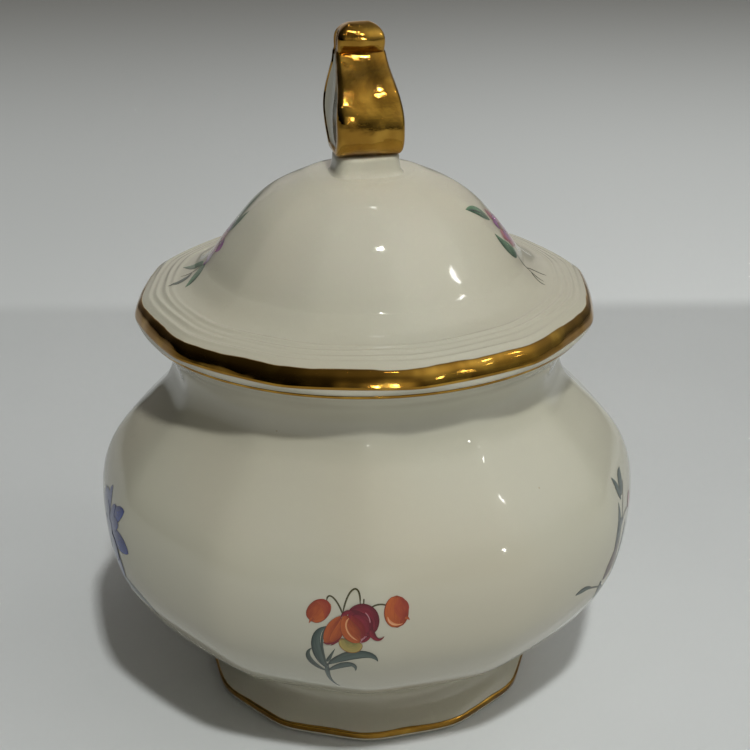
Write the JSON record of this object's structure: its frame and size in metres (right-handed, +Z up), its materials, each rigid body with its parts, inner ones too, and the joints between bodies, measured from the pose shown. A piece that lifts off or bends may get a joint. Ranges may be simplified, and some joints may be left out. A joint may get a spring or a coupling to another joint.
{
  "type": "covered sugar bowl",
  "caption": "Lobed porcelain sugar bowl on a low foot ring, with a lift-off domed lid, a locating collar under it and a scroll knob on top.",
  "frame": {"origin": "centre of the foot ring's resting plane", "axes": "+Z up along the bowl's axis towards the lid's knob; -Y is the front, the side with the main flower sprig; +X to the right seen from the front"},
  "size_m": [0.1064, 0.1064, 0.131],
  "materials": {
    "bowl_glaze": "ivory gloss glaze with a gilded rim and printed flower sprigs",
    "foot_glaze": "ivory gloss glaze with a gilded line above an unglazed resting ring",
    "lid_glaze": "ivory gloss glaze with a gilded brim edge",
    "finial_gilding": "ivory gloss glaze, polished bright gold film on its edges and curls"
  },
  "bodies": {
    "bowl_body": {"bowl": "bowl_glaze", "foot_ring": "foot_glaze"},
    "lid_body": {"lid": "lid_glaze", "lid_collar": "lid_glaze", "finial_base": "lid_glaze", "finial_scroll": "finial_gilding"}
  },
  "joints": [
    {"name": "lid_lift", "type": "slide", "parent": "bowl_body", "child": "lid_body", "axis": [0, 0, 1], "range_m": [0, 0.06]}
  ]
}
